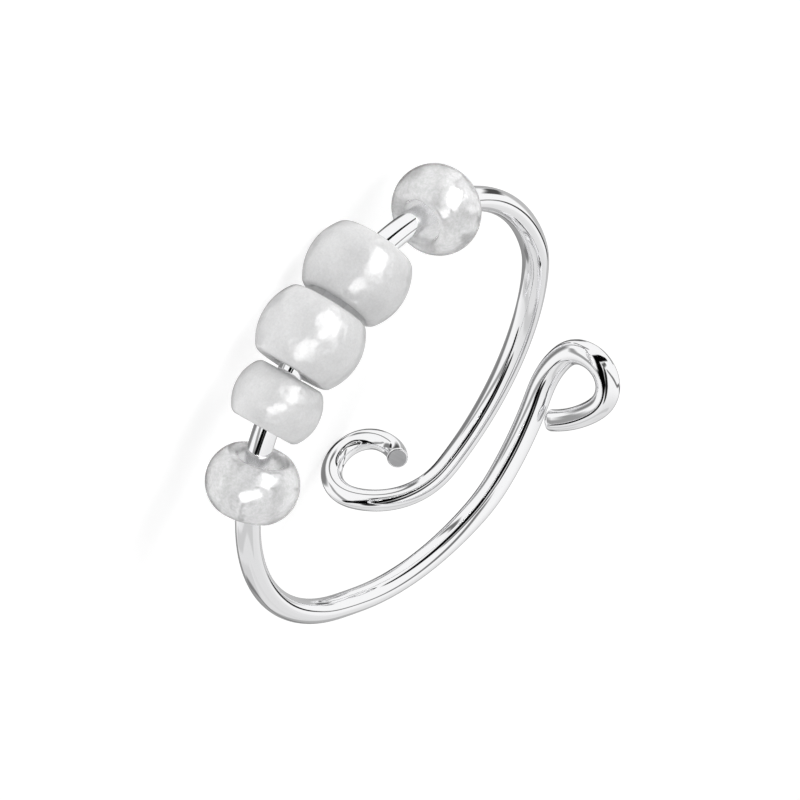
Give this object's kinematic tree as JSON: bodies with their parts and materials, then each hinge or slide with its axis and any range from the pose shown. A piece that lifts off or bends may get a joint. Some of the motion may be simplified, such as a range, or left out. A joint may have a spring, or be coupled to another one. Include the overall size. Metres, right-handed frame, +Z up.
{
  "type": "open spinner ring with curled ends and loose beads",
  "caption": "Adjustable open finger ring of polished round wire whose curled ends pass each other, with loose pearl and clear beads that spin and slide on the wire.",
  "frame": {"origin": "bottom centre of the box round the ring as it lies on its side, on the surface it rests on", "axes": "+Z up from the surface; -Y towards the beads, which are the front; +Y towards the opening with the curled ends; +X to the right seen from the front"},
  "size_m": [0.0186, 0.0218, 0.0098],
  "materials": {
    "polished_wire": "mirror polished",
    "clear_glass": "slightly milky clear glass",
    "pearl_glass": "pearl lustre on milky glass"
  },
  "bodies": {
    "wire": {"wire_band": "polished_wire"},
    "clear_bead_upper": {"clear_bead_upper": "clear_glass"},
    "pearl_bead_upper": {"pearl_bead_upper": "pearl_glass"},
    "pearl_bead_middle": {"pearl_bead_middle": "pearl_glass"},
    "small_pearl_bead": {"small_pearl_bead": "pearl_glass"},
    "clear_bead_lower": {"clear_bead_lower": "clear_glass"}
  },
  "joints": [
    {"name": "clear_bead_upper_spin", "type": "hinge", "parent": "wire", "child": "clear_bead_upper", "pos_m": [-0.00756, -0.00438, 0.00245], "axis": [0.6468, -0.7555, -0.1046], "continuous": true},
    {"name": "pearl_bead_upper_spin", "type": "hinge", "parent": "wire", "child": "pearl_bead_upper", "pos_m": [-0.00423, -0.00784, 0.002], "axis": [0.9618, -0.273, 0.0195], "continuous": true},
    {"name": "pearl_bead_middle_spin", "type": "hinge", "parent": "wire", "child": "pearl_bead_middle", "pos_m": [-0.00145, -0.0089, 0.002], "axis": [0.9814, -0.1881, 0.0385], "continuous": true},
    {"name": "small_pearl_bead_spin", "type": "hinge", "parent": "wire", "child": "small_pearl_bead", "pos_m": [0.0012, -0.00901, 0.00219], "axis": [0.9924, -0.1098, 0.0555], "continuous": true},
    {"name": "clear_bead_lower_spin", "type": "hinge", "parent": "wire", "child": "clear_bead_lower", "pos_m": [0.00435, -0.00793, 0.00266], "axis": [0.9398, 0.3124, 0.1383], "continuous": true}
  ]
}
